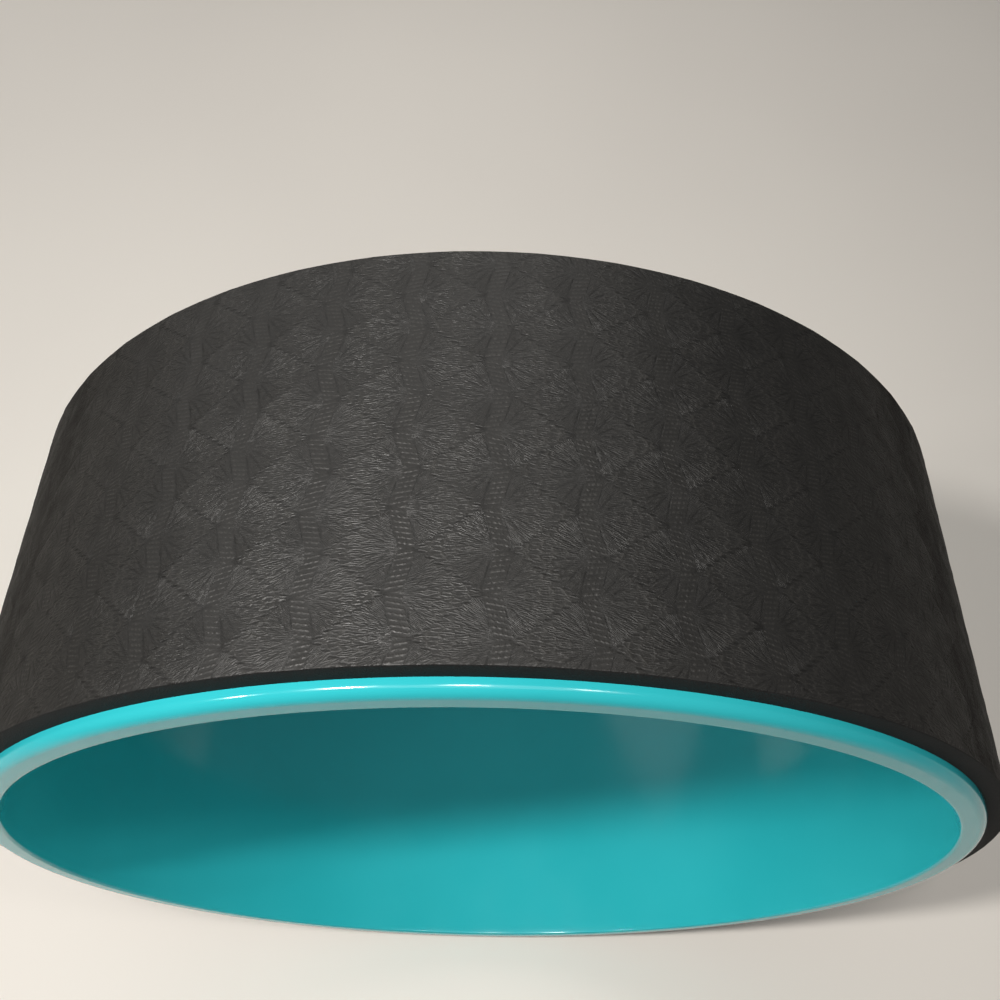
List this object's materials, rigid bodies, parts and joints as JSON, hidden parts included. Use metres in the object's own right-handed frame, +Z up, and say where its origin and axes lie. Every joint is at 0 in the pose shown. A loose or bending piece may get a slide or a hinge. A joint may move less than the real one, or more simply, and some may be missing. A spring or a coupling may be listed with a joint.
{
  "type": "yoga wheel",
  "caption": "Open rigid plastic hoop with rounded lips and an embossed foam tread pad bonded round its outside, for back stretches and balance exercises.",
  "frame": {"origin": "centre of the wheel, on its axis and half way between its two open ends", "axes": "+Y along the wheel's axis, away from the open end nearest the picture's camera; +Z up with the wheel standing on its tread; +X to the right as seen from the near open end"},
  "size_m": [0.3274, 0.123, 0.3273],
  "materials": {
    "hoop_gloss": "glossy moulded teal plastic",
    "bonding_film": "milky double-sided adhesive",
    "tread_foam": "matt black closed-cell foam, embossed with a small leaf pattern"
  },
  "bodies": {
    "root": {"hoop": "hoop_gloss", "adhesive_film": "bonding_film", "tread_pad": "tread_foam"}
  },
  "joints": []
}
